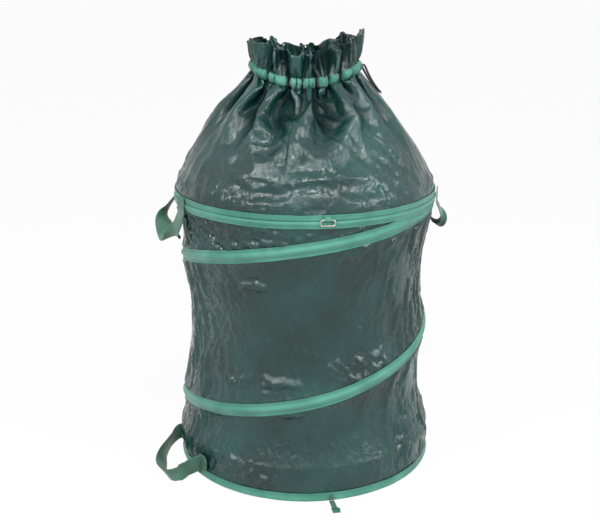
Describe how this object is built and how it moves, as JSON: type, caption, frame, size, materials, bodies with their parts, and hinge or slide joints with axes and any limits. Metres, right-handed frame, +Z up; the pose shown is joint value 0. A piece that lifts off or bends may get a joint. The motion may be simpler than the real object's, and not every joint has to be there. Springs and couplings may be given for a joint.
{
  "type": "pop up leaf bag",
  "caption": "Collapsible round leaf bag: wire hoops joined by a coiled spring in a cloth wall, with a drawstring collar and frill, webbing handles, and a closing strap and ring.",
  "frame": {"origin": "middle of the round base, on the ground", "axes": "+Z up along the bag's middle line, +X to the bag's right, -Y to the front seen in the picture"},
  "size_m": [0.5254, 0.4999, 0.7682],
  "materials": {
    "coated_cloth": "glossy",
    "edging_tape": "satin",
    "strap_webbing": "matte",
    "braided_cord": "matte",
    "spring_steel": "satin",
    "ring_steel": "satin",
    "hook_plastic": "satin"
  },
  "bodies": {
    "base": {"base_panel": "coated_cloth", "bottom_hoop": "spring_steel", "bottom_hoop_ferrule": "spring_steel", "bottom_ring_casing": "edging_tape", "side_wall": "coated_cloth", "spring_wire": "spring_steel", "spring_casing": "edging_tape", "handle_bottom_patch_front": "strap_webbing", "handle_bottom_patch_rear": "strap_webbing", "closing_strap_end": "strap_webbing"},
    "top": {"top_hoop": "spring_steel", "top_hoop_ferrule": "spring_steel", "top_ring_casing": "edging_tape", "collar_binding": "edging_tape", "collar": "coated_cloth", "closing_ring_tab": "edging_tape", "handle_left_patch_front": "strap_webbing", "handle_left_patch_rear": "strap_webbing", "handle_right_patch_front": "strap_webbing", "handle_right_patch_rear": "strap_webbing"},
    "neck": {"neck_channel": "edging_tape", "drawstring": "braided_cord", "neck_frill": "coated_cloth", "drawstring_loop": "braided_cord"},
    "handle_left": {"handle_left": "strap_webbing"},
    "handle_right": {"handle_right": "strap_webbing"},
    "handle_bottom": {"handle_bottom": "strap_webbing"},
    "closing_ring": {"closing_ring": "ring_steel"},
    "closing_strap": {"closing_strap": "strap_webbing", "closing_hook": "hook_plastic"}
  },
  "joints": [
    {"name": "collapse", "type": "slide", "parent": "base", "child": "top", "axis": [0, 0, 1], "range_m": [-0.35, 0], "stiffness_N_per_m": 60, "springref_m": 0.15, "deforming": ["side_wall", "spring_casing", "spring_wire"]},
    {"name": "neck_drop", "type": "slide", "parent": "top", "child": "neck", "axis": [0, 0, 1], "range_m": [-0.19, 0], "deforming": ["collar"]},
    {"name": "handle_left_swing", "type": "hinge", "parent": "top", "child": "handle_left", "pos_m": [-0.22296, -0.0254, 0.48335], "axis": [-0.1132, 0.9936, 0], "range_deg": [0, 150]},
    {"name": "handle_right_swing", "type": "hinge", "parent": "top", "child": "handle_right", "pos_m": [0.2195, 0.04666, 0.48335], "axis": [0.2079, -0.9781, 0], "range_deg": [0, 150]},
    {"name": "handle_bottom_swing", "type": "hinge", "parent": "base", "child": "handle_bottom", "pos_m": [-0.20637, -0.07922, 0.0425], "axis": [-0.3584, 0.9336, 0], "range_deg": [0, 45]},
    {"name": "closing_ring_swing", "type": "hinge", "parent": "top", "child": "closing_ring", "pos_m": [0.03643, -0.22998, 0.4955], "axis": [-0.9877, -0.1564, 0], "range_deg": [0, 120]},
    {"name": "closing_strap_swing", "type": "hinge", "parent": "base", "child": "closing_strap", "pos_m": [0.04638, -0.22798, 0.0019], "axis": [-0.9799, -0.1994, 0], "range_deg": [0, 80]}
  ]
}
